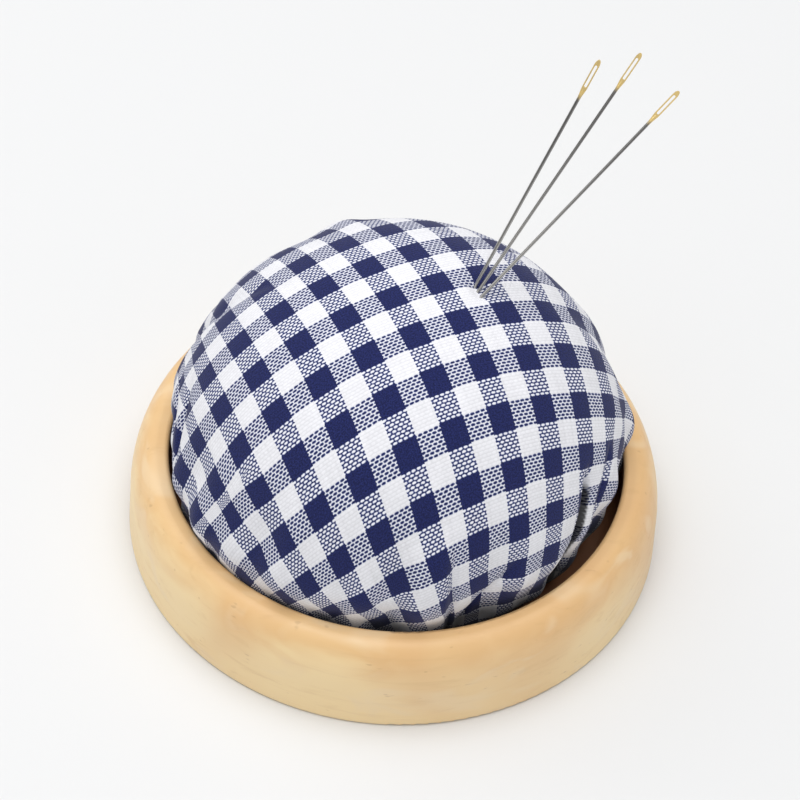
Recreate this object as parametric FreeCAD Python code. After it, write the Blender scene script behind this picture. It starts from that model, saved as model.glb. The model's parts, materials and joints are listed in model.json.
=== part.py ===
import FreeCAD, Part
import math
import os

from FreeCAD import Vector

# Pin cushion: a stuffed cotton dome glued into a turned wooden dish, with three
# hand-sewing needles pushed into its crown. Millimetres, +Z up.
# Origin: centre of the dish's underside, on the surface that it stands on.

# Wooden dish
BASE_RADIUS = 35.2          # at the foot
SIDE_RADIUS = 35.0          # where the side starts to round over
FOOT_ROUND = 0.5            # small broken edge at the foot
SIDE_TOP = 5.5              # height at which the shoulder starts
CREST_RADIUS = 31.4         # the rim is flat from here to its rounded inner edge
CREST_HEIGHT = 13.0
DISH_RADIUS = 29.9          # inside wall
LIP_WIDTH = 0.6             # rounding between the rim and the inside wall
LIP_DROP = 0.6
FLOOR_HEIGHT = 4.0          # thickness of wood under the cushion
FLOOR_FILLET = 2.0          # between the inside wall and the floor

# Cushion: an upright half ellipse over the rim, tucked in below it
DOME_RADIUS = 30.8
DOME_RISE = 31.9
DOME_CENTRE_HEIGHT = 11.5
FLARE_HEIGHT = 19.0         # the dome shape ends here and the tuck starts
WAIST_RADIUS = 29.0         # just inside the lip
WAIST_HEIGHT = 12.0
TUCK_PULL = 0.4             # how far each end of the tuck keeps its own direction
SEAT_RADIUS = 19.0          # flat underside
SEAT_HEIGHT = 5.2
GATHER_RADIUS = 5.0         # hole left where the cloth's edge is drawn together
CLOTH = 0.3                 # cloth thickness
LAYER_GAP = 0.02            # between the layers inside the cushion

# Parts under and inside the cushion
CARD_RADIUS = 18.5
CARD_THICKNESS = 1.0
GLUE_RADIUS = 17.0
THREAD_RADIUS = 0.13
THREAD_RING_RADIUS = 4.7

# Needles: all three are the same kind
NEEDLE_LENGTH = 41.0
NEEDLE_RADIUS = 0.21
POINT_LENGTH = 5.0          # tapered point
POINT_RADIUS = 0.03         # the very tip is slightly rounded off
HEAD_LENGTH = 5.2           # from the start of the swell to the top
HEAD_HALF_WIDTH = 0.34
HEAD_HALF_THICKNESS = 0.17
EYE_LENGTH = 3.1
EYE_HALF_WIDTH = 0.16
EYE_TOP_WALL = 0.75         # metal above the eye
CAP_SIDE = 0.7              # how square the rounded end of the head is, along its
CAP_TOP = 0.4               # sides and across its top, as shares of its size
NECK_OVERLAP = 0.6          # the round shank runs this far into the flattened head
TRACK_CLEARANCE = 0.05      # round a needle, all along its track
TRACK_END = 0.4             # free space beyond the point

# Each needle: where it enters the dome (x, y), its lean from upright and the
# heading of that lean in degrees from +X, and the length that shows.
NEEDLES = {
    "needle_left": {"entry": (8.35, 2.75), "lean": 31.1, "heading": 42.3, "shown": 32.7},
    "needle_middle": {"entry": (8.90, 2.20), "lean": 41.6, "heading": 42.8, "shown": 35.2},
    "needle_right": {"entry": (9.30, 1.10), "lean": 51.5, "heading": 36.1, "shown": 34.7},
}
# The flat of each head, and so the open side of its eye, faces this elevation
# above -Y.
EYE_FACING_ELEVATION = 47.8

AXIS = Vector(0, 0, 1)
ORIGIN = Vector(0, 0, 0)


def at(radius, height):
    """Point of a turned profile, in the XZ plane."""
    return Vector(radius, 0, height)


def line(start, end):
    return Part.LineSegment(start, end).toShape()


def quarter_ellipse(centre, radial, vertical):
    """Quarter ellipse in the XZ plane between its two axis ends."""
    middle = centre + Vector(radial, 0, vertical) * math.sqrt(0.5)
    start = centre + Vector(radial, 0, 0)
    end = centre + Vector(0, 0, vertical)
    if abs(radial) == abs(vertical):
        return Part.Arc(start, middle, end).toShape()
    longer = (Vector(radial, 0, 0), Vector(0, 0, vertical))
    major, minor = sorted(longer, key=lambda side: -side.Length)
    ellipse = Part.Ellipse(centre + major, centre + minor, centre)
    first, last = sorted(ellipse.parameter(p) for p in (start, end))
    if last - first > math.pi:
        first, last = last, first + 2 * math.pi
    return ellipse.toShape(first, last)


def turned(edges):
    """Solid of revolution about +Z of a closed chain of edges in the XZ plane."""
    wire = Part.Wire(Part.__sortEdges__(edges))
    solid = Part.Face(wire).revolve(ORIGIN, AXIS, 360)
    return Part.Solid(solid) if solid.ShapeType == "Shell" else solid


def wooden_base():
    """Turned dish: rounded shoulder, narrow flat rim, soft inner edge and flat floor."""
    foot = at(BASE_RADIUS, FOOT_ROUND)
    side = at(SIDE_RADIUS, SIDE_TOP)
    crest = at(CREST_RADIUS, CREST_HEIGHT)
    lip_height = CREST_HEIGHT - LIP_DROP
    wall_foot = at(DISH_RADIUS, FLOOR_HEIGHT + FLOOR_FILLET)
    floor_edge = at(DISH_RADIUS - FLOOR_FILLET, FLOOR_HEIGHT)
    shoulder = quarter_ellipse(
        at(CREST_RADIUS, SIDE_TOP), SIDE_RADIUS - CREST_RADIUS, CREST_HEIGHT - SIDE_TOP
    )
    lip_top = at(DISH_RADIUS + LIP_WIDTH, CREST_HEIGHT)
    lip = quarter_ellipse(at(DISH_RADIUS + LIP_WIDTH, lip_height), -LIP_WIDTH, LIP_DROP)
    corner = quarter_ellipse(
        at(DISH_RADIUS - FLOOR_FILLET, FLOOR_HEIGHT + FLOOR_FILLET), FLOOR_FILLET, -FLOOR_FILLET
    )
    return turned([
        line(ORIGIN, at(BASE_RADIUS - FOOT_ROUND, 0)),
        quarter_ellipse(at(BASE_RADIUS - FOOT_ROUND, FOOT_ROUND), FOOT_ROUND, -FOOT_ROUND),
        line(foot, side),
        shoulder,
        line(crest, lip_top),
        lip,
        line(at(DISH_RADIUS, lip_height), wall_foot),
        corner,
        line(floor_edge, at(0, FLOOR_HEIGHT)),
        line(at(0, FLOOR_HEIGHT), ORIGIN),
    ])


def dome_radius_at(height, inset=0.0):
    rise = (height - DOME_CENTRE_HEIGHT) / (DOME_RISE - inset)
    return (DOME_RADIUS - inset) * math.sqrt(1 - rise * rise)


def dome_height_at(x, y):
    share = math.hypot(x, y) / DOME_RADIUS
    return DOME_CENTRE_HEIGHT + DOME_RISE * math.sqrt(1 - share * share)


def cushion_solid(inset, floor):
    """The cushion's outline moved inwards by inset, with its underside at floor."""
    radial, rise = DOME_RADIUS - inset, DOME_RISE - inset
    centre = at(0, DOME_CENTRE_HEIGHT)
    ellipse = Part.Ellipse(centre + at(0, rise), centre + at(radial, 0), centre)
    top = at(0, DOME_CENTRE_HEIGHT + rise)
    flare = at(dome_radius_at(FLARE_HEIGHT, inset), FLARE_HEIGHT)
    first, last = sorted(ellipse.parameter(p) for p in (top, flare))
    dome = ellipse.toShape(first, last)

    waist = at(WAIST_RADIUS - inset, WAIST_HEIGHT)
    drop = FLARE_HEIGHT - WAIST_HEIGHT
    slope = radial * radial * (FLARE_HEIGHT - DOME_CENTRE_HEIGHT) / (rise * rise * flare.x)
    tuck = Part.BezierCurve()
    tuck.setPoles([
        flare,
        flare + Vector(slope, 0, -1) * drop * TUCK_PULL,
        waist + Vector(0, 0, drop * TUCK_PULL),
        waist,
    ])
    seat = at(SEAT_RADIUS, floor)
    belly = quarter_ellipse(at(SEAT_RADIUS, WAIST_HEIGHT), waist.x - SEAT_RADIUS, floor - WAIST_HEIGHT)
    return turned([
        dome,
        tuck.toShape(),
        belly,
        line(seat, at(0, floor)),
        line(at(0, floor), top),
    ])


def needle_frame(spot):
    """(entry point, direction towards the eye, direction that the eye faces)."""
    x, y = spot["entry"]
    entry = Vector(x, y, dome_height_at(x, y))
    lean, heading = math.radians(spot["lean"]), math.radians(spot["heading"])
    along = Vector(
        math.sin(lean) * math.cos(heading), math.sin(lean) * math.sin(heading), math.cos(lean)
    )
    up = math.radians(EYE_FACING_ELEVATION)
    facing = Vector(0, -math.cos(up), math.sin(up))
    facing = (facing - along * facing.dot(along)).normalize()
    return entry, along, facing


def placed(shape, point, along, facing):
    """shape, made along +Z with its eye open along +Y, moved to its place."""
    across = facing.cross(along)
    matrix = FreeCAD.Matrix(
        across.x, facing.x, along.x, point.x,
        across.y, facing.y, along.y, point.y,
        across.z, facing.z, along.z, point.z,
        0, 0, 0, 1,
    )
    shape.Placement = FreeCAD.Placement(matrix)
    return shape


def flat_head_outline(grow):
    """Outline of the head in the XZ plane: it swells from the shank to the eye and
    closes in a rounded end. grow is added to its half width."""
    neck = NEEDLE_LENGTH - HEAD_LENGTH
    shoulder = NEEDLE_LENGTH - EYE_TOP_WALL - EYE_LENGTH
    crown = NEEDLE_LENGTH - EYE_TOP_WALL
    half, full = NEEDLE_RADIUS + grow, HEAD_HALF_WIDTH + grow
    third = (shoulder - neck) / 3
    edges = []
    for side in (1, -1):
        swell = Part.BezierCurve()
        swell.setPoles([
            at(side * half, neck),
            at(side * half, neck + third),
            at(side * full, shoulder - third),
            at(side * full, shoulder),
        ])
        edges.append(swell.toShape())
        edges.append(line(at(side * full, shoulder), at(side * full, crown)))
        cap = Part.BezierCurve()
        cap.setPoles([
            at(side * full, crown),
            at(side * full, crown + EYE_TOP_WALL * CAP_SIDE),
            at(side * full * CAP_TOP, NEEDLE_LENGTH),
            at(0, NEEDLE_LENGTH),
        ])
        edges.append(cap.toShape())
    edges.append(line(at(-half, neck), at(half, neck)))
    return Part.Face(Part.Wire(Part.__sortEdges__(edges)))


def needle():
    """Needle along +Z with its point at the origin and its eye open along Y."""
    neck = NEEDLE_LENGTH - HEAD_LENGTH
    point = Part.makeCone(POINT_RADIUS, NEEDLE_RADIUS, POINT_LENGTH)
    shank = Part.makeCylinder(NEEDLE_RADIUS, neck + NECK_OVERLAP - POINT_LENGTH, at(0, POINT_LENGTH))
    end = Part.makeCone(NEEDLE_RADIUS, HEAD_HALF_THICKNESS, NECK_OVERLAP,
                        at(0, neck + NECK_OVERLAP))
    plate = flat_head_outline(0).extrude(Vector(0, 2 * HEAD_HALF_THICKNESS, 0))
    plate.translate(Vector(0, -HEAD_HALF_THICKNESS, 0))
    body = point.fuse([shank, end, plate]).removeSplitter()
    eye_foot = NEEDLE_LENGTH - EYE_TOP_WALL - EYE_LENGTH + EYE_HALF_WIDTH
    eye_head = NEEDLE_LENGTH - EYE_TOP_WALL - EYE_HALF_WIDTH
    depth = 4 * HEAD_HALF_THICKNESS
    start = Vector(0, -depth / 2, 0)
    slot = Part.makeBox(
        2 * EYE_HALF_WIDTH, depth, eye_head - eye_foot,
        start + Vector(-EYE_HALF_WIDTH, 0, eye_foot),
    )
    ends = [
        Part.makeCylinder(EYE_HALF_WIDTH, depth, start + Vector(0, 0, z), Vector(0, 1, 0))
        for z in (eye_foot, eye_head)
    ]
    return body.cut(slot.fuse(ends))


def needle_track():
    """Space that a needle keeps free on its way out, along +Z from its point."""
    radius = NEEDLE_RADIUS + TRACK_CLEARANCE
    return Part.makeCylinder(radius, NEEDLE_LENGTH / 2 + TRACK_END, at(0, -TRACK_END))


def needle_point(spot):
    entry, along, facing = needle_frame(spot)
    return entry - along * (NEEDLE_LENGTH - spot["shown"]), along, facing


def main():
    os.makedirs("parts", exist_ok=True)
    tracks = [placed(needle_track(), *needle_point(spot)) for spot in NEEDLES.values()]

    cloth_floor = SEAT_HEIGHT + CLOTH
    card_floor = cloth_floor + LAYER_GAP
    card_top = card_floor + CARD_THICKNESS
    hollow = cushion_solid(CLOTH, cloth_floor)
    gather_hole = Part.makeCylinder(GATHER_RADIUS, 2 * CLOTH, at(0, SEAT_HEIGHT - CLOTH / 2))
    card = Part.makeCylinder(CARD_RADIUS, CARD_THICKNESS, at(0, card_floor))
    card_space = Part.makeCylinder(
        CARD_RADIUS + LAYER_GAP, card_top + LAYER_GAP, at(0, 0)
    )
    stuffing = cushion_solid(CLOTH + LAYER_GAP, cloth_floor + LAYER_GAP)
    thread_height = SEAT_HEIGHT + THREAD_RADIUS + LAYER_GAP
    glue_height = SEAT_HEIGHT - FLOOR_HEIGHT

    shapes = {
        "wooden_base": wooden_base(),
        "cushion_cover": cushion_solid(0, SEAT_HEIGHT).cut([hollow, gather_hole, *tracks]),
        "stuffing_core": stuffing.cut([card_space, *tracks]),
        "backing_disc": card,
        "gathering_thread": Part.makeTorus(THREAD_RING_RADIUS, THREAD_RADIUS, at(0, thread_height)),
        "glue_pad": Part.makeCylinder(GLUE_RADIUS, glue_height, at(0, FLOOR_HEIGHT)),
    }
    for name, spot in NEEDLES.items():
        shapes[name] = placed(needle(), *needle_point(spot))

    for name, shape in shapes.items():
        solids = shape.Solids
        one = solids[0] if len(solids) == 1 else shape
        one.exportStep(f"parts/{name}.step")
        box = one.BoundBox
        print(
            f"{name}: {len(solids)} solid, valid {one.isValid()}, {one.Volume:.2f} mm3, "
            f"z {box.ZMin:.2f} to {box.ZMax:.2f}"
        )


main()
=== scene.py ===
import json
import math

import bmesh
import bpy
import numpy as np
from mathutils import Matrix, Vector


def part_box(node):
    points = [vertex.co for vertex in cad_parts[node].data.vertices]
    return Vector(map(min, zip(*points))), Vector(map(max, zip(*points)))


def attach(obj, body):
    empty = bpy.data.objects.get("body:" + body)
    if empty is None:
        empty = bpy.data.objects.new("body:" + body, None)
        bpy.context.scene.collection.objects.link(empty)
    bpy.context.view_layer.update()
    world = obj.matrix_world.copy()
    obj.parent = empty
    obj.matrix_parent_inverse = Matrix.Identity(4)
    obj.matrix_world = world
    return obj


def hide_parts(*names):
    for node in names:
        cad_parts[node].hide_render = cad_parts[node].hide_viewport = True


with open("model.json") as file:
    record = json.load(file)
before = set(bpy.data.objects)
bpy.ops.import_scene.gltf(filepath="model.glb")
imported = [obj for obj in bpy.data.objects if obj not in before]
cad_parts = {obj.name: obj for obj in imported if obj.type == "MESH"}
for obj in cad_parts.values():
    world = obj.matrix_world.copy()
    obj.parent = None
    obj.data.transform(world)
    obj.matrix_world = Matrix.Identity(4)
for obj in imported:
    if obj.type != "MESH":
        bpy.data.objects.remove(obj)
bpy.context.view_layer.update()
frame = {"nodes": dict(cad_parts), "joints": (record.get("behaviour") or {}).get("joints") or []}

# Pin cushion: a gathered gingham cushion in a turned wooden dish, with three needles.
# The frame is in metres. Lengths of the cloth and its pattern are in millimetres and
# are turned into metres where a mesh is made.

MM = 0.001

# Camera: it stands back from a point in the cushion, and looks at one close to it
CAMERA_ELEVATION = math.radians(47.75)
CAMERA_DISTANCE = 0.380
CAMERA_CENTRE = Vector((0, 0, 0.020))
CAMERA_TARGET = Vector((-0.0001, 0.0013, 0.0212))
CAMERA_ROLL = math.radians(4.19)
CAMERA_LENS = 132.1

# Stage: half the floor's side, and each softbox's place, width and power
FLOOR_HALF = 3.0
FLOOR_COLOUR = (0.765, 0.77, 0.775)
ROOM_LIGHT = 0.40
SOFTBOXES = (
    ("top_softbox", (0.0, 0.0, 0.90), 1.0, 6.4),
    ("back_softbox", (-0.50, 0.40, 0.60), 0.8, 1.4),
    ("front_softbox", (-0.45, -0.40, 0.65), 0.8, 0.8),
    ("side_softbox", (0.50, -0.45, 0.60), 0.8, 0.45),
)

# The cushion's outline, as in the CAD model, with the gather drawn a little tighter
COVER_LOW, COVER_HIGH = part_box("cushion_cover")
DOME_RADIUS = 30.8
DOME_CENTRE = 11.5
DOME_RISE = COVER_HIGH.z / MM - DOME_CENTRE
FLARE_HEIGHT = 19.0
WAIST_RADIUS = 29.0
WAIST_HEIGHT = 12.0
SEAT_RADIUS = 19.0
SEAT_HEIGHT = COVER_LOW.z / MM
GATHER_RADIUS = 4.9
CLOTH_THICKNESS = 0.25

# The dish's inside wall, its rounded lip and its rim, which the cloth is pressed against
WALL_RADIUS = 29.87
LIP_ROUND = 0.6
RIM_HEIGHT = 13.0

# The gingham: a repeat is one dark and one light stripe
REPEAT = 6.39
THREADS_I = 18
THREADS_J = 16
CROWN_I, CROWN_J = 1.43, -3.12      # lattice place of the crown of the dome
WEAVE_TURN = math.radians(30.2)

# The cover's mesh: rings of vertices round the crown
AROUND = 680
DOWN = 180
CLOTH_START = 0.3                   # the first ring, round the crown
CLOTH_REACH = 78.0                  # from the crown to the cut edge, over the cloth
PULL_END = 38.0                     # from here the cloth runs evenly down to the gather
PULL_SCALE = 30.0                   # the length that the pull is worked out in

# The simulated sheet that gives the small folds. It is SETTLE_SCALE times life size.
SETTLE_START = 0.5
SETTLE_END = 57.0
SETTLE_RINGS = 70
SETTLE_AROUND = 280
SETTLE_SCALE = 20.0
SETTLE_FRAMES = 20
HELD_FROM = 54.0                    # the sheet is held fast from this length on
CORE_GAP = 1.2                      # from the sheet to the stuffing that it lies on
CONTACT_GAP = 0.004
MOST_FOLD = 0.6
RIPPLE = 0.30                       # the fullness that the sheet starts with, as waves
RIPPLE_COUNTS = (11, 13, 17, 19, 23, 29)
RIPPLE_START, RIPPLE_FULL = 27.0, 44.0
# Lengths from the crown where the small folds come in and go out again, and the one
# side, as azimuth and half width, that lies steadier
FOLDS_START, FOLDS_FULL = 16.0, 30.0
FOLDS_WANE, FOLDS_END = 50.0, 53.0
STEADY_SIDE = (-26, 16)
STEADY_SHARE = 0.8

# Lengths from the crown where the underside begins, and where no fold is left on it
UNDERSIDE_START, UNDERSIDE_FULL = 50.0, 56.0
# How dark the cloth is down in the dish, as painted shade, 0 to 1, and the lengths where it gets so
SEAT_SHADE = 0.70
SEAT_SHADE_START, SEAT_SHADE_FULL = 45.0, 49.5

# The cloth is drawn in a little along each needle
DIMPLE_DEPTH = 0.35
DIMPLE_WIDTH = 1.1
DIMPLE_REACH = 8

# The stuffing's mesh, and how far it lies below the cover
STUFFING_RINGS = 90
STUFFING_AROUND = 180
STUFFING_GAP = 1.6

# Broad highs and lows of the stuffing: azimuth and half width in degrees, height
LUMPS = ((114, 5.5, 0.75), (129, 9, -0.45), (165, 3.5, -0.8), (19, 6, -0.5), (-45, 26, -0.2))
LUMP_START, LUMP_FULL = 14.0, 30.0  # lengths from the crown where they come in

# Where the cloth draws back from the lip: azimuth, half width, height
LIP_LUMPS = ((8, 6, 1.0), (-10, 8, -0.8), (-24, 6, -1.1), (-36, 14, -0.45), (-62, 16, -0.5),
             (184, 10, -1.0), (-134, 24, 0.9))
LIP_START, LIP_FULL = 37.0, 45.0

# Tucks: azimuths and lengths from the crown of the start, middle and end, then the
# cloth swallowed on each side, the depth, and how much lower the far side lies. One
# with a negative depth is a pinched ridge that stands out.
TUCKS = (
    ((-26.5, 33.0), (-34.5, 40.0), (-40, 46.5), 1.10, 2.4, 0.5),
    ((-12, 34.0), (-21, 37.5), (-28, 43.0), 0.40, 0.5, 0.2),
    ((-73.3, 33.5), (-74, 39.0), (-74.5, 47.0), 0.50, 0.55, 0.1),
    ((-56, 38.0), (-61, 42.0), (-68, 47.0), 0.45, 0.5, 0.0),
    ((-134.0, 30.0), (-136.0, 37.0), (-144, 45.0), 1.4, -0.9, 0.25),
    ((-175.5, 31.5), (-167, 36.0), (-160, 42.0), 0.50, 0.6, 0.15),
    ((176, 35.0), (-175, 38.0), (-167, 43.0), 0.45, 0.5, 0.1),
    ((113.5, 33.0), (112, 38.0), (110, 46.0), 0.60, 0.6, 0.0),
    ((62, 36.0), (60, 40.0), (61, 46.0), 0.60, 0.7, 0.1),
    ((31, 35.0), (33, 40.0), (30, 46.0), 0.50, 0.6, 0.1),
    ((147, 36.0), (150, 40.0), (148, 46.0), 0.50, 0.6, 0.1),
)
TUCK_REACH = 6.0                    # how far to each side a tuck moves the cloth
TUCK_DRAW = 0.75                    # share of the swallowed cloth that each side gives


def smooth(low, high, x):
    """0 up to low, 1 from high on, and an even S curve between them."""
    t = np.clip((x - low) / (high - low), 0, 1)
    return t * t * (3 - 2 * t)


# ---------------------------------------------------------------- materials


class Nodes:
    """A material's node tree, with short calls for the nodes that are used often."""

    def __init__(self, name):
        self.material = bpy.data.materials.new(name)
        self.material.use_nodes = True
        self.tree = self.material.node_tree
        self.shader = self.tree.nodes["Principled BSDF"]

    def plug(self, socket, value):
        if hasattr(value, "is_linked") or hasattr(value, "links"):
            self.tree.links.new(value, socket)
        elif socket.type == "RGBA" and len(value) == 3:
            socket.default_value = (*value, 1)
        else:
            socket.default_value = value

    def add(self, kind, **inputs):
        node = self.tree.nodes.new(kind)
        for name, value in inputs.items():
            self.plug(node.inputs[name.replace("_", " ")], value)
        return node

    def math(self, operation, a, b=0.0, c=None):
        node = self.tree.nodes.new("ShaderNodeMath")
        node.operation = operation
        self.plug(node.inputs[0], a)
        self.plug(node.inputs[1], b)
        if c is not None:
            self.plug(node.inputs[2], c)
        return node.outputs[0]

    def vector(self, operation, a, b):
        node = self.tree.nodes.new("ShaderNodeVectorMath")
        node.operation = operation
        self.plug(node.inputs[0], a)
        self.plug(node.inputs[1], b)
        return node.outputs["Value" if operation == "DOT_PRODUCT" else "Vector"]

    def ramp(self, x, low, high, out_low=0.0, out_high=1.0):
        node = self.tree.nodes.new("ShaderNodeMapRange")
        node.interpolation_type = "SMOOTHSTEP"
        for name, value in zip(("Value", "From Min", "From Max", "To Min", "To Max"),
                               (x, low, high, out_low, out_high)):
            self.plug(node.inputs[name], value)
        return node.outputs["Result"]

    def mix(self, factor, a, b):
        node = self.tree.nodes.new("ShaderNodeMix")
        node.data_type = "RGBA"
        self.plug(node.inputs[0], factor)
        self.plug(node.inputs[6], a)
        self.plug(node.inputs[7], b)
        return node.outputs[2]

    def noise(self, where, scale, detail=2.0, rough=0.5, distortion=0.0):
        node = self.add("ShaderNodeTexNoise", Vector=where, Scale=scale, Detail=detail,
                        Roughness=rough, Distortion=distortion)
        return node.outputs["Fac"]

    def stretched(self, where, scale):
        node = self.tree.nodes.new("ShaderNodeMapping")
        self.plug(node.inputs["Vector"], where)
        node.inputs["Scale"].default_value = scale
        return node.outputs["Vector"]

    def object_place(self):
        return self.tree.nodes.new("ShaderNodeTexCoord").outputs["Object"]

    def bump(self, height, strength, distance):
        node = self.add("ShaderNodeBump", Height=height, Strength=strength, Distance=distance)
        self.plug(self.shader.inputs["Normal"], node.outputs["Normal"])

    def scaled(self, colour, factor):
        node = self.tree.nodes.new("ShaderNodeVectorMath")
        node.operation = "SCALE"
        self.plug(node.inputs[0], colour)
        self.plug(node.inputs["Scale"], factor)
        return node.outputs[0]

    def set(self, **inputs):
        for name, value in inputs.items():
            self.plug(self.shader.inputs[name.replace("_", " ")], value)


NAVY = (0.012, 0.017, 0.086)
WHITE = (0.84, 0.84, 0.88)
FUZZ = (0.19, 0.23, 0.43)
DARK_HALF = 0.25                    # half the width of a dark stripe, in repeats
DEEP_SHADE = 0.08                   # what is left of the colour where the painted shade is 1
DASH_LENGTH = 0.76                  # half sizes of a thread's show on top of another,
DASH_WIDTH = 0.34                   # as shares of the thread spacing


def stripe(n, thread, count, offset):
    """1 where the thread of this number is dark: half of each repeat of count threads."""
    share = n.math("DIVIDE", n.math("ADD", thread, offset), count)
    away = n.math("ABSOLUTE", n.math("SUBTRACT", share, n.math("ROUND", share)))
    return n.math("LESS_THAN", away, DARK_HALF)


def gingham():
    """Plain-weave gingham. The threads that run along i stand out over the others as
    short dashes at every second crossing, and the others show between the dashes."""
    n = Nodes("gingham_cotton")
    stored = n.tree.nodes.new("ShaderNodeAttribute")
    stored.attribute_name = "cloth"
    split = n.tree.nodes.new("ShaderNodeSeparateXYZ")
    n.plug(split.inputs[0], stored.outputs["Vector"])
    cloth = n.add("ShaderNodeCombineXYZ", X=split.outputs[0], Y=split.outputs[1]).outputs[0]
    wander = n.math("MULTIPLY", n.math("SUBTRACT", n.noise(cloth, 2.2, 3.0, 0.6), 0.5), 0.55)
    shake_a = n.math("MULTIPLY", n.math("SUBTRACT", n.noise(cloth, 21.0, 2.0), 0.5), 0.4)
    shake_b = n.math("MULTIPLY", n.math("SUBTRACT", n.noise(cloth, 27.0, 2.0), 0.5), 0.3)
    a = n.math("MULTIPLY_ADD", split.outputs[0], THREADS_I, n.math("ADD", wander, 0.5))
    b = n.math("SUBTRACT", n.math("MULTIPLY", split.outputs[1], THREADS_J), wander)
    a = n.math("ADD", a, shake_a)
    b = n.math("ADD", b, shake_b)
    cell_a, cell_b = n.math("FLOOR", a), n.math("FLOOR", b)
    off_a = n.math("ABSOLUTE", n.math("SUBTRACT", n.math("SUBTRACT", a, cell_a), 0.5))
    off_b = n.math("ABSOLUTE", n.math("SUBTRACT", n.math("SUBTRACT", b, cell_b), 0.5))
    dark_a = stripe(n, cell_a, THREADS_I, 0.0)
    dark_b = stripe(n, cell_b, THREADS_J, 0.5)
    # along is how far this spot is from the middle of the nearest dash of its thread
    under = n.math("MODULO", n.math("ABSOLUTE", n.math("ADD", cell_a, cell_b)), 2.0)
    along = n.math("ABSOLUTE", n.math("SUBTRACT", under, off_a))
    size = n.noise(cloth, 33.0, 2.0)
    dash_length = n.math("MULTIPLY_ADD", size, 0.3, DASH_LENGTH - 0.15)
    dash_width = n.math("MULTIPLY_ADD", size, -0.10, DASH_WIDTH + 0.05)
    reach = n.math("ADD", n.math("POWER", n.math("DIVIDE", along, dash_length), 2.6),
                   n.math("POWER", n.math("DIVIDE", off_b, dash_width), 2.2))
    on_top = n.ramp(reach, 2.10, 0.25)
    dark = n.math("ADD", n.math("MULTIPLY", on_top, dark_b),
                  n.math("MULTIPLY", n.math("SUBTRACT", 1.0, on_top), dark_a))
    # every thread has its own slight strength of colour; the dips where a thread goes under, and
    # the furrows between threads, get painted shade
    pick = n.add("ShaderNodeCombineXYZ", X=cell_a, Y=cell_b).outputs[0]
    slub_a = n.noise(n.stretched(pick, (0.9, 0.07, 1)), 1.0, 1.0)
    slub_b = n.noise(n.stretched(pick, (0.07, 0.9, 1)), 1.0, 1.0)
    shade = n.math("MULTIPLY_ADD", n.math("ADD", slub_a, slub_b), 0.16, 0.84)
    furrow_painted_shade = n.ramp(off_b, 0.30, 0.50, 1.0, 0.94)
    fuzz = n.noise(n.stretched(cloth, (60, 85, 1)), 1.0, 3.0, 0.7)
    dip_painted_shade = n.math("MULTIPLY_ADD", on_top, 0.07, 0.93)
    light = n.math("MULTIPLY", n.math("MULTIPLY", shade, dip_painted_shade), furrow_painted_shade)
    white_now = n.scaled(WHITE, n.math("MULTIPLY", light, n.math("MULTIPLY_ADD", fuzz, 0.10, 0.95)))
    mottle = n.ramp(size, 0.35, 0.65, 0.65, 1.35)
    navy_now = n.math("MULTIPLY_ADD", n.ramp(fuzz, 0.35, 0.75), 0.9, 0.75)
    navy_now = n.scaled(NAVY, n.math("MULTIPLY", navy_now, mottle))
    n.bump(n.math("SUBTRACT", 1.0, n.math("MINIMUM", reach, 1.4)), 0.18, 0.00010)
    # where a pale thread meets a dark one, blue fuzz from the dark one lies over it
    half_way = n.math("MINIMUM", n.math("MULTIPLY", dark, 2.0), 1.0)
    rest = n.math("MAXIMUM", n.math("MULTIPLY_ADD", dark, 2.0, -1.0), 0.0)
    colour = n.mix(rest, n.mix(half_way, white_now, FUZZ), navy_now)
    # painted shade from the deep tucks and from down in the dish, stored as the third value of the
    # cloth attribute
    painted_shade_factor = n.ramp(split.outputs[2], 0.0, 1.0, 1.0, DEEP_SHADE)
    n.set(Base_Color=n.scaled(colour, painted_shade_factor), Roughness=0.9)
    n.set(Sheen_Weight=0.10, Sheen_Roughness=0.5, Specular_IOR_Level=0.2)
    return n.material


BODY_WOOD = (0.945, 0.725, 0.405)
RIM_WOOD = (0.825, 0.540, 0.255)
WARM_PATCH = (0.790, 0.480, 0.220)
PALE_FIGURE = (0.900, 0.700, 0.450)
GRAIN_LINE = (0.600, 0.350, 0.150)
FLECK = (0.450, 0.240, 0.100)
INSIDE_WALL_PAINTED_SHADE = (0.26, 0.11, 0.05)
WARM_START, WARM_FULL = 0.0075, 0.0125      # heights where the rim's colour comes in


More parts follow.
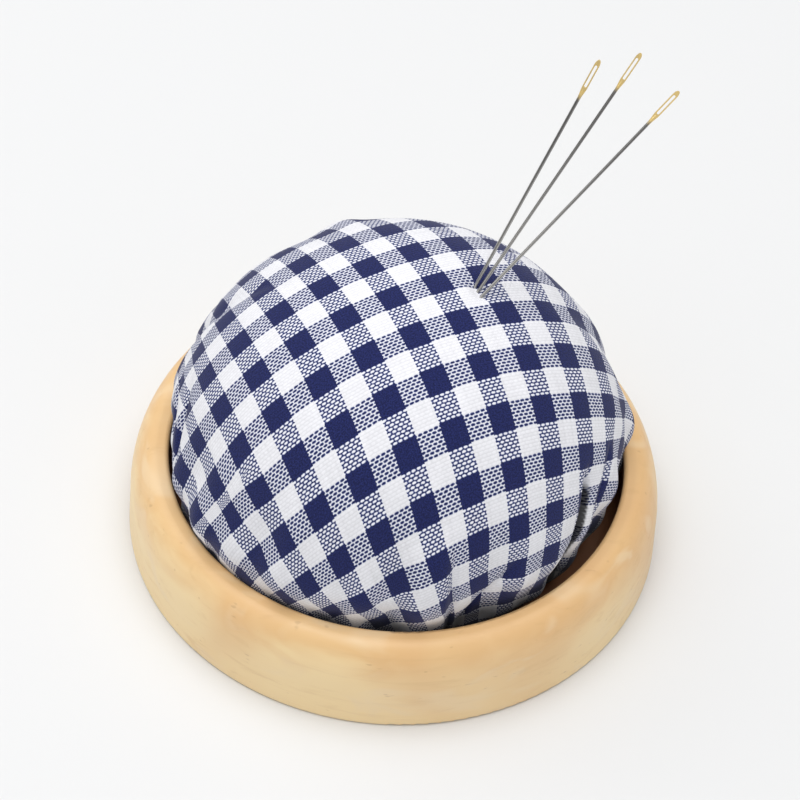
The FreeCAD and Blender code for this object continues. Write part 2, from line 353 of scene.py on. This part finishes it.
def dish_wood():
    """Pale close-grained wood under a thin satin varnish, warmer over the rim."""
    n = Nodes("pale_turned_wood")
    where = n.object_place()
    height = n.tree.nodes.new("ShaderNodeSeparateXYZ")
    n.plug(height.inputs[0], where)
    height = height.outputs["Z"]
    lines = n.noise(n.stretched(where, (60, 330, 900)), 1.0, 4.0, 0.6, 0.6)
    figure = n.noise(n.stretched(where, (70, 110, 190)), 1.0, 2.0, 0.5, 1.2)
    patch = n.noise(where, 38.0, 2.0, 0.5, 0.5)
    flecks = n.noise(n.stretched(where, (500, 900, 1500)), 1.0, 1.0)
    uneven = n.math("MULTIPLY_ADD", n.math("SUBTRACT", figure, 0.5), 0.008, height)
    warm = n.ramp(uneven, WARM_START, WARM_FULL)
    colour = n.mix(warm, BODY_WOOD, RIM_WOOD)
    colour = n.mix(n.ramp(patch, 0.40, 0.72, 0.0, 0.70), colour, WARM_PATCH)
    colour = n.mix(n.ramp(figure, 0.52, 0.72, 0.0, 0.55), colour, PALE_FIGURE)
    colour = n.mix(n.ramp(lines, 0.50, 0.78, 0.0, 0.22), colour, GRAIN_LINE)
    colour = n.mix(n.ramp(flecks, 0.71, 0.80, 0.0, 0.30), colour, FLECK)
    # the inside wall is painted darker, as painted shade in the gap under the cloth
    from_axis = n.add("ShaderNodeVectorMath")
    from_axis.operation = "LENGTH"
    n.plug(from_axis.inputs[0], n.vector("MULTIPLY", where, (1, 1, 0)))
    inside = n.math("MULTIPLY", n.ramp(from_axis.outputs["Value"], 0.0303, 0.0300),
                    n.ramp(height, 0.0126, 0.0118))
    colour = n.mix(inside, colour, INSIDE_WALL_PAINTED_SHADE)
    n.set(Base_Color=colour, Roughness=n.ramp(lines, 0.3, 0.8, 0.42, 0.55))
    n.set(Coat_Weight=0.10, Coat_Roughness=0.35)
    n.bump(lines, 0.10, 0.0001)
    return n.material


GOLD_LENGTH = 0.0053
GOLD_EDGE = 0.0005                  # over this far to each side the plating fades out
PAINTED_REFLECTION_START, PAINTED_REFLECTION_FULL = 0.032, 0.008    # over these, from the tip, the steel is painted darker, as a painted reflection
BRIGHT_STEEL = (0.50, 0.49, 0.47)
PAINTED_REFLECTION_STEEL = (0.24, 0.235, 0.23)
GOLD = (0.98, 0.72, 0.28)
STREAK = (0.30, 0.29, 0.27)


def needle_metal(name, axis, tip):
    """Steel, with a painted dark reflection towards the head, which is gold plated. tip is where
    the head ends along the axis."""
    n = Nodes(name)
    where = n.object_place()
    along = n.vector("DOT_PRODUCT", where, tuple(axis))
    gold = n.ramp(along, tip - GOLD_LENGTH - GOLD_EDGE, tip - GOLD_LENGTH + GOLD_EDGE)
    # painted reflection: the steel is darker towards the head
    painted_reflection = n.ramp(along, tip - PAINTED_REFLECTION_START, tip - PAINTED_REFLECTION_FULL)
    steel = n.mix(painted_reflection, BRIGHT_STEEL, PAINTED_REFLECTION_STEEL)
    streak = n.noise(n.stretched(where, (4000, 4000, 300)), 1.0, 2.0)
    colour = n.mix(gold, steel, GOLD)
    colour = n.mix(n.ramp(streak, 0.3, 0.8, 0.0, 0.3), colour, STREAK)
    n.set(Base_Color=colour, Roughness=n.ramp(streak, 0.3, 0.7, 0.14, 0.26))
    n.set(Metallic=n.math("MULTIPLY_ADD", gold, -0.45, 1.0))
    return n.material


# ---------------------------------------------------------------- the cushion


def profile():
    """The cushion's half outline from the crown to the gather: length, radius, height."""
    ellipse_end = math.acos((FLARE_HEIGHT - DOME_CENTRE) / DOME_RISE)
    turn = np.linspace(0, ellipse_end, 400)
    points = [np.stack([DOME_RADIUS * np.sin(turn), DOME_CENTRE + DOME_RISE * np.cos(turn)], 1)]
    flare = points[0][-1]
    drop = FLARE_HEIGHT - WAIST_HEIGHT
    slope = DOME_RADIUS ** 2 * (FLARE_HEIGHT - DOME_CENTRE) / (DOME_RISE ** 2 * flare[0])
    waist = np.array([WAIST_RADIUS, WAIST_HEIGHT])
    poles = [flare, flare + np.array([slope, -1]) * drop * 0.4, waist + (0, drop * 0.4), waist]
    t = np.linspace(0, 1, 60)[1:, None]
    points.append((1 - t) ** 3 * poles[0] + 3 * t * (1 - t) ** 2 * poles[1]
                  + 3 * t * t * (1 - t) * poles[2] + t ** 3 * poles[3])
    turn = np.linspace(0, math.pi / 2, 120)[1:]
    points.append(np.stack([SEAT_RADIUS + (WAIST_RADIUS - SEAT_RADIUS) * np.cos(turn),
                            WAIST_HEIGHT - (WAIST_HEIGHT - SEAT_HEIGHT) * np.sin(turn)], 1))
    flat = np.linspace(SEAT_RADIUS, GATHER_RADIUS, 60)[1:]
    points.append(np.stack([flat, np.full_like(flat, SEAT_HEIGHT)], 1))
    points = np.concatenate(points)
    steps = np.hypot(*np.diff(points, axis=0).T)
    return np.concatenate([[0], np.cumsum(steps)]), points[:, 0], points[:, 1]


LENGTHS, RADII, HEIGHTS = profile()


def cloth_to_surface(reach, bearing):
    """Where a point of the flat cloth lies on the cushion, as (length from the crown,
    azimuth). The cloth is pulled a little harder to one side than to the other."""
    reach, bearing = np.broadcast_arrays(reach, bearing)
    x = np.minimum(reach, PULL_END) / PULL_SCALE
    pull = 1 + 0.27 * x ** 2 - 0.10 * x ** 4
    pull = pull + x * (0.115 * np.cos(bearing) + 0.145 * np.sin(bearing))
    pull = pull + x ** 2 * (0.087 * np.sin(2 * bearing) - 0.034 * np.cos(2 * bearing))
    length = PULL_SCALE * x * pull + np.maximum(reach - PULL_END, 0) * 0.95
    turn = x * (0.142 * np.cos(bearing) - 0.020 * np.sin(bearing))
    turn = turn + x ** 2 * (0.047 * np.cos(2 * bearing) + 0.049 * np.sin(2 * bearing))
    return np.minimum(length, LENGTHS[-1]), bearing + WEAVE_TURN + turn


def around_from(azimuth, degrees):
    """Angle from a direction given in degrees, between -pi and pi."""
    return (azimuth - math.radians(degrees) + math.pi) % (2 * math.pi) - math.pi


def lump(azimuth, centre, half_width):
    """A round swelling: 1 at its centre, fading to each side of it."""
    return np.exp(-(around_from(azimuth, centre) / math.radians(half_width)) ** 2)


def tucked(length, azimuth, tuck):
    """Moves the cloth sideways into one tuck. Returns the new length and azimuth, how far the cloth
    sinks there, and how dark it is, as painted shade. The path is a parabola down the dome."""
    start, middle, end, swallow, depth, step = tuck
    radius = float(np.interp(middle[1], LENGTHS, RADII))
    down = np.clip(length, start[1] - 1, end[1] + 2)
    bend = [math.radians((a[0] - middle[0] + 180) % 360 - 180) / (a[1] - middle[1])
            for a in (start, end)]
    curve = (bend[1] - bend[0]) / (end[1] - start[1])
    tilt = bend[0] + curve * (middle[1] - start[1])
    path = tilt * (down - middle[1]) + curve * (down - middle[1]) ** 2
    slope = radius * (tilt + 2 * curve * (down - middle[1]))
    upright = 1 / np.sqrt(1 + slope ** 2)
    across = around_from(azimuth - path, middle[0]) * radius * upright
    open_ = smooth(start[1], start[1] + 0.45 * (end[1] - start[1]), length)
    pull = swallow * open_ + 1e-6
    near = np.exp(-(across / TUCK_REACH) ** 2)
    move = -np.sign(across) * TUCK_DRAW * pull * np.tanh(np.abs(across) / pull) * near
    # a deep tuck stands open as a slot that closes towards its lower end
    from_slot = np.abs(across + move)
    slot = 0.10 * depth ** 2 * (1 - 0.5 * smooth(start[1] + 3, end[1], length))
    wall = 0.2 + 0.2 / abs(depth)
    inside = depth * open_ * np.exp(-(np.maximum(from_slot - slot, 0) / wall) ** 2)
    sink = inside + 0.25 * depth * open_ * np.exp(-(from_slot / 1.8) ** 2)
    sink = sink + step * open_ * smooth(-0.2, 0.5, across) * np.exp(-(across / 3.5) ** 2)
    # the far side of a deep tuck runs in under the near side, and the shade there is painted into
    # its colour
    under = np.exp(-((across + move - 0.27 * depth) / (0.28 * depth)) ** 2)
    dark = smooth(0.25, 1.5, depth * open_ ** 2 * under)
    return length - move * slope * upright, azimuth + move * upright / radius, sink, dark


def on_surface(length, azimuth, lift):
    """Places on the cushion's outline, moved out along its normal by lift."""
    r, z = np.interp(length, LENGTHS, RADII), np.interp(length, LENGTHS, HEIGHTS)
    ahead, behind = length + 0.6, np.maximum(length - 0.6, 0)
    dr = np.interp(ahead, LENGTHS, RADII) - np.interp(behind, LENGTHS, RADII)
    dz = np.interp(ahead, LENGTHS, HEIGHTS) - np.interp(behind, LENGTHS, HEIGHTS)
    size = np.hypot(dr, dz)
    r, z = r - dz / size * lift, z + dr / size * lift
    return np.stack([r * np.cos(azimuth), r * np.sin(azimuth), z], -1)


def refined(grid):
    """Twice as many rings and columns, as smooth subdivision gives. Columns close up."""
    wide = np.repeat(grid, 2, axis=1)
    wide = (2 * wide + np.roll(wide, 1, 1) + np.roll(wide, -1, 1)) / 4
    tall = np.repeat(wide, 2, axis=0)
    inner = (2 * tall[1:-1] + tall[:-2] + tall[2:]) / 4
    return np.concatenate([tall[:1], inner, tall[-1:]])


def sampled(field, lengths, length, azimuth):
    """Values of a field, given on rings of even azimuth, at any places between."""
    rings, around = field.shape[:2]
    down = np.clip((length - lengths[0]) / (lengths[1] - lengths[0]), 0, rings - 1.001)
    turn = (azimuth / (2 * math.pi) * around) % around
    d0, t0 = np.floor(down).astype(int), np.floor(turn).astype(int)
    d, t = (down - d0)[..., None], (turn - t0)[..., None]
    t0, t1 = t0 % around, (t0 + 1) % around
    upper = field[d0, t0] * (1 - t) + field[d0, t1] * t
    lower = field[d0 + 1, t0] * (1 - t) + field[d0 + 1, t1] * t
    return upper * (1 - d) + lower * d


def settled_cloth():
    """Lets the gathered cloth settle over the stuffing, as a simulated sheet that is a
    little too wide below the shoulder and buckles there. Returns how far it moves from
    the plain outline, and the lengths from the crown that this is given at."""
    lengths = np.linspace(SETTLE_START, SETTLE_END, SETTLE_RINGS)
    length, azimuth = np.broadcast_arrays(
        lengths[:, None], (np.arange(SETTLE_AROUND) * 2 * math.pi / SETTLE_AROUND)[None, :])
    fullness = smooth(RIPPLE_START, RIPPLE_FULL, length)
    seed = np.random.default_rng(7)
    ripple = np.zeros_like(length)
    for count in RIPPLE_COUNTS:
        turn, lean = seed.uniform(0, 2 * math.pi), seed.uniform(-0.15, 0.15)
        ripple = ripple + seed.uniform(0.5, 1.0) * np.cos(count * azimuth + turn + lean * length)
    start = on_surface(length, azimuth, RIPPLE * ripple * fullness)
    piece = grid_mesh("settling_cloth", start * SETTLE_SCALE, start)
    mesh = piece.data
    held = np.concatenate([[0.0], length.ravel()]) > HELD_FROM
    piece.vertex_groups.new(name="held").add(np.nonzero(held)[0].tolist(), 1.0, "REPLACE")
    core = on_surface(length, azimuth, 0 * length - CORE_GAP) * SETTLE_SCALE
    core = grid_mesh("settling_core", core, start)
    core.modifiers.new("wall", "COLLISION")
    core.collision.thickness_outer = CONTACT_GAP
    cloth = piece.modifiers.new("cloth", "CLOTH")
    cloth.settings.quality = 5
    cloth.settings.mass = 0.3
    cloth.settings.tension_stiffness = 15
    cloth.settings.compression_stiffness = 15
    cloth.settings.shear_stiffness = 5
    cloth.settings.bending_stiffness = 0.2
    cloth.settings.use_pressure = True
    cloth.settings.uniform_pressure_force = 2.0
    cloth.settings.vertex_group_mass = "held"
    cloth.settings.effector_weights.gravity = 0.0
    cloth.collision_settings.distance_min = CONTACT_GAP
    scene = bpy.context.scene
    for now in range(1, SETTLE_FRAMES + 1):
        scene.frame_set(now)
    settled = piece.evaluated_get(bpy.context.evaluated_depsgraph_get()).data
    co = np.empty(len(mesh.vertices) * 3, np.float32)
    settled.vertices.foreach_get("co", co)
    plain = on_surface(length, azimuth, 0 * length)
    moved = co.reshape(-1, 3)[1:].reshape(start.shape) / (SETTLE_SCALE * MM) - plain
    scene.frame_set(1)
    for thing in (piece, core):
        bpy.data.objects.remove(thing, do_unlink=True)
    # the outline keeps the size that the CAD model gives it: only the folds are kept
    out = plain * (1, 1, 0) / np.hypot(plain[..., :1], plain[..., 1:2])
    swell = (moved * out).sum(-1).mean(1)[:, None, None] * out
    swell[..., 2] = moved[..., 2].mean(1)[:, None]
    moved = np.clip(moved - swell, -MOST_FOLD, MOST_FOLD)
    return moved, lengths


def needle_entries():
    """Where each needle's axis meets the dome, and that axis, in millimetres."""
    entries = []
    for joint in frame["joints"]:
        axis = np.array(joint["axis"])
        co = np.array([v.co for v in frame["nodes"][joint["child"]].data.vertices]) / MM
        point = co[np.argsort(co @ axis)[:6]].mean(0)
        steps = point + np.linspace(0, 12, 600)[:, None] * axis
        share = np.hypot(steps[:, 0], steps[:, 1]) / DOME_RADIUS
        above = steps[:, 2] - DOME_CENTRE - DOME_RISE * np.sqrt(1 - share ** 2)
        entries.append((steps[np.abs(above).argmin()], axis))
    return entries


def folded(length, azimuth):
    """The cloth drawn into the tucks and over the lumps: length, azimuth, lift, and how dark the
    cloth is, as painted shade in a deep tuck and down in the dish."""
    sink, shade = np.zeros_like(length), np.zeros_like(length)
    for tuck in TUCKS:
        length, azimuth, deeper, dark = tucked(length, azimuth, tuck)
        sink = np.maximum(sink, deeper) + np.minimum(deeper, 0)
        shade = np.maximum(shade, dark)
    lift = -sink
    for lumps, start, full in ((LUMPS, LUMP_START, LUMP_FULL), (LIP_LUMPS, LIP_START, LIP_FULL)):
        for centre, width, height in lumps:
            lift = lift + height * lump(azimuth, centre, width) * smooth(start, full, length)
    # painted shade on the cloth down in the dish, under the lip
    shade = np.maximum(shade, SEAT_SHADE * smooth(SEAT_SHADE_START, SEAT_SHADE_FULL, length))
    lift = lift * (1 - smooth(UNDERSIDE_START, UNDERSIDE_FULL, length))
    return length, azimuth, lift, shade


def cloth_grid(rings, around):
    """The flat cloth in polar form round the spot that lies on the crown."""
    reach = np.linspace(CLOTH_START, CLOTH_REACH, rings)[:, None]
    bearing = (np.arange(around) * 2 * math.pi / around)[None, :]
    return np.broadcast_arrays(reach, bearing)


def kept_off_wall(places):
    """Presses the cloth flat against the dish's inside wall, where it would run into it."""
    height = places[..., 2]
    rise = np.clip(height - RIM_HEIGHT + LIP_ROUND, 0, LIP_ROUND)
    wall = WALL_RADIUS + LIP_ROUND - np.sqrt(LIP_ROUND ** 2 - rise ** 2)
    radius = np.hypot(places[..., 0], places[..., 1])
    share = np.where(height < RIM_HEIGHT, np.minimum(wall / radius, 1), 1)[..., None]
    return np.concatenate([places[..., :2] * share, places[..., 2:]], -1)


def cover_shape():
    """The finished places of the cover's vertices, and each one's place in the weave, with its
    painted shade as a third value.
    """
    reach, bearing = cloth_grid(DOWN, AROUND)
    length, azimuth = cloth_to_surface(reach, bearing)
    length, azimuth, lift, shade = folded(length, azimuth)
    # the third value is the painted shade, which darkens the gingham's colour
    lattice = np.stack([CROWN_I + reach * np.cos(bearing) / REPEAT,
                        CROWN_J - reach * np.sin(bearing) / REPEAT, shade], -1)
    places = on_surface(length, azimuth, lift)
    moved, lengths = settled_cloth()
    moved = refined(moved)
    lengths = np.linspace(lengths[0], lengths[-1], len(moved))
    fade = smooth(FOLDS_START, FOLDS_FULL, length)
    fade = fade * (1 - smooth(FOLDS_WANE, FOLDS_END, length))
    fade = fade * (1 - STEADY_SHARE * lump(azimuth, *STEADY_SIDE))
    places = places + sampled(moved, lengths, length, azimuth) * fade[..., None]
    for entry, axis in needle_entries():
        off = places - entry
        away = np.linalg.norm(off - (off @ axis)[..., None] * axis, axis=-1)
        near = np.exp(-(away / DIMPLE_WIDTH) ** 2) * (np.linalg.norm(off, axis=-1) < DIMPLE_REACH)
        places = places - DIMPLE_DEPTH * near[..., None] * axis
    return kept_off_wall(places), lattice


def grid_mesh(name, places, lattice):
    """Mesh of rings of vertices, closed round and with a fan at its pole."""
    rings, around = places.shape[:2]
    pole = places[0].mean(0)
    co = np.concatenate([pole[None], places.reshape(-1, 3)]) * MM
    k = np.arange(around)
    after = (k + 1) % around
    fan = [(0, int(1 + i), int(1 + j)) for i, j in zip(k, after)]
    quads = []
    for ring in range(rings - 1):
        top, low = 1 + ring * around, 1 + (ring + 1) * around
        quads.append(np.stack([top + k, low + k, low + after, top + after], 1))
    faces = fan + np.concatenate(quads).tolist()
    mesh = bpy.data.meshes.new(name)
    mesh.from_pydata(co.tolist(), [], faces)
    cloth = np.concatenate([lattice[0].mean(0)[None], lattice.reshape(-1, 3)])
    mesh.attributes.new("cloth", "FLOAT_VECTOR", "POINT").data.foreach_set(
        "vector", cloth.astype(np.float32).ravel())
    mesh.shade_smooth()
    piece = bpy.data.objects.new(name, mesh)
    bpy.context.scene.collection.objects.link(piece)
    return piece


def cover():
    """The gingham cover, in place of the plain CAD one."""
    places, lattice = cover_shape()
    piece = grid_mesh("gingham_cover", places, lattice)
    piece.data.materials.append(gingham())
    thick = piece.modifiers.new("cloth_thickness", "SOLIDIFY")
    thick.thickness = CLOTH_THICKNESS * MM
    thick.offset = -1.0
    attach(piece, "cushion")
    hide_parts("cushion_cover")


def fibre():
    """Matted white fibre."""
    n = Nodes("white_fibre")
    where = n.object_place()
    strands = n.noise(n.stretched(where, (900, 900, 2600)), 1.0, 5.0, 0.7, 1.5)
    n.set(Base_Color=n.mix(strands, (0.80, 0.79, 0.76), (0.92, 0.92, 0.90)), Roughness=0.95)
    n.set(Sheen_Weight=0.2)
    n.bump(strands, 0.5, 0.0003)
    return n.material


def stuffing():
    """The packed fibre under the cover, a little lumpy and flat over the card."""
    length = np.linspace(0.4, LENGTHS[-1], STUFFING_RINGS)[:, None]
    azimuth = (np.arange(STUFFING_AROUND) * 2 * math.pi / STUFFING_AROUND)[None, :]
    length, azimuth = np.broadcast_arrays(length, azimuth)
    _, _, lift, _ = folded(length, azimuth)
    ripple = np.sin(5 * azimuth + 0.3 * length) + np.sin(9 * azimuth - 0.5 * length + 2)
    places = on_surface(length, azimuth, lift - STUFFING_GAP + 0.1 * ripple)
    card_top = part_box("backing_disc")[1].z / MM + 0.1
    places[..., 2] = np.maximum(places[..., 2], card_top)
    places[-1] = (0, 0, card_top)
    piece = grid_mesh("fibre_stuffing", places, places)
    # the last ring has closed to a point, and its vertices are joined into one
    joined = bmesh.new()
    joined.from_mesh(piece.data)
    bmesh.ops.remove_doubles(joined, verts=joined.verts, dist=0.01 * MM)
    joined.to_mesh(piece.data)
    joined.free()
    piece.data.materials.append(fibre())
    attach(piece, "cushion")
    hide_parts("stuffing_core")


# ---------------------------------------------------------------- stage


def stage():
    """A pale floor, even light from the room, and four round softboxes."""
    floor_mesh = bpy.data.meshes.new("floor")
    corners = ((-1, -1), (1, -1), (1, 1), (-1, 1))
    floor_mesh.from_pydata([(x * FLOOR_HALF, y * FLOOR_HALF, 0) for x, y in corners],
                           [], [(0, 1, 2, 3)])
    floor = bpy.data.objects.new("floor", floor_mesh)
    bpy.context.scene.collection.objects.link(floor)
    paper = Nodes("pale_floor")
    paper.set(Base_Color=FLOOR_COLOUR, Roughness=0.8)
    floor.data.materials.append(paper.material)
    world = bpy.data.worlds.new("studio")
    world.use_nodes = True
    world.node_tree.nodes["Background"].inputs["Color"].default_value = (1, 1, 1, 1)
    world.node_tree.nodes["Background"].inputs["Strength"].default_value = ROOM_LIGHT
    bpy.context.scene.world = world
    for name, place, size, power in SOFTBOXES:
        light = bpy.data.lights.new(name, "AREA")
        light.shape = "DISK"
        light.size = size
        light.energy = power
        lamp = bpy.data.objects.new(name, light)
        lamp.location = place
        lamp.rotation_mode = "QUATERNION"
        lamp.rotation_quaternion = (-Vector(place)).to_track_quat("-Z", "Y")
        bpy.context.scene.collection.objects.link(lamp)


def camera():
    """The camera in front and above, tipped over a little to one side."""
    data = bpy.data.cameras.new("camera")
    data.sensor_width = 36.0
    data.lens = CAMERA_LENS
    eye = bpy.data.objects.new("camera", data)
    bpy.context.scene.collection.objects.link(eye)
    back = Vector((0, -math.cos(CAMERA_ELEVATION), math.sin(CAMERA_ELEVATION)))
    eye.location = CAMERA_CENTRE + back * CAMERA_DISTANCE
    look = (CAMERA_TARGET - eye.location).normalized()
    turn = look.to_track_quat("-Z", "Y").to_matrix().to_4x4()
    eye.rotation_mode = "QUATERNION"
    eye.rotation_quaternion = (turn @ Matrix.Rotation(CAMERA_ROLL, 4, "Z")).to_quaternion()
    data.clip_start, data.clip_end = 0.01, 10
    bpy.context.scene.camera = eye
    bpy.context.scene.view_settings.view_transform = "Standard"


def paint(node, material):
    """Gives a CAD node its finished material."""
    mesh = frame["nodes"][node].data
    mesh.materials.clear()
    mesh.materials.append(material)


def rough_board():
    """Grey-brown card with short fibres."""
    n = Nodes("grey_board")
    fibres = n.noise(n.stretched(n.object_place(), (900, 300, 900)), 1.0, 4.0, 0.7)
    n.set(Base_Color=n.mix(fibres, (0.22, 0.18, 0.13), (0.38, 0.32, 0.25)), Roughness=0.9)
    n.bump(fibres, 0.3, 0.0001)
    return n.material


def set_glue():
    """Amber glue, set hard, with a soft shine."""
    n = Nodes("amber_glue")
    cloud = n.noise(n.object_place(), 260.0, 3.0)
    n.set(Base_Color=n.mix(cloud, (0.42, 0.26, 0.09), (0.60, 0.43, 0.20)), Roughness=0.35)
    n.bump(cloud, 0.3, 0.0003)
    return n.material


def twisted_thread():
    """White cotton thread, with the slant of its twist."""
    n = Nodes("white_thread")
    twist = n.add("ShaderNodeTexWave", Vector=n.object_place(), Scale=700.0, Distortion=1.5)
    n.set(Base_Color=n.mix(twist.outputs["Fac"], (0.62, 0.61, 0.58), (0.86, 0.85, 0.82)))
    n.set(Roughness=0.8, Sheen_Weight=0.1)
    n.bump(twist.outputs["Fac"], 0.5, 0.0001)
    return n.material


def main():
    camera()
    stage()
    paint("wooden_base", dish_wood())
    paint("backing_disc", rough_board())
    paint("glue_pad", set_glue())
    paint("gathering_thread", twisted_thread())
    for joint in frame["joints"]:
        node = joint["child"]
        axis = np.array(joint["axis"])
        tip = max(float(np.dot(axis, v.co)) for v in frame["nodes"][node].data.vertices)
        paint(node, needle_metal(node + "_metal", axis, tip))
    cover()
    stuffing()


main()
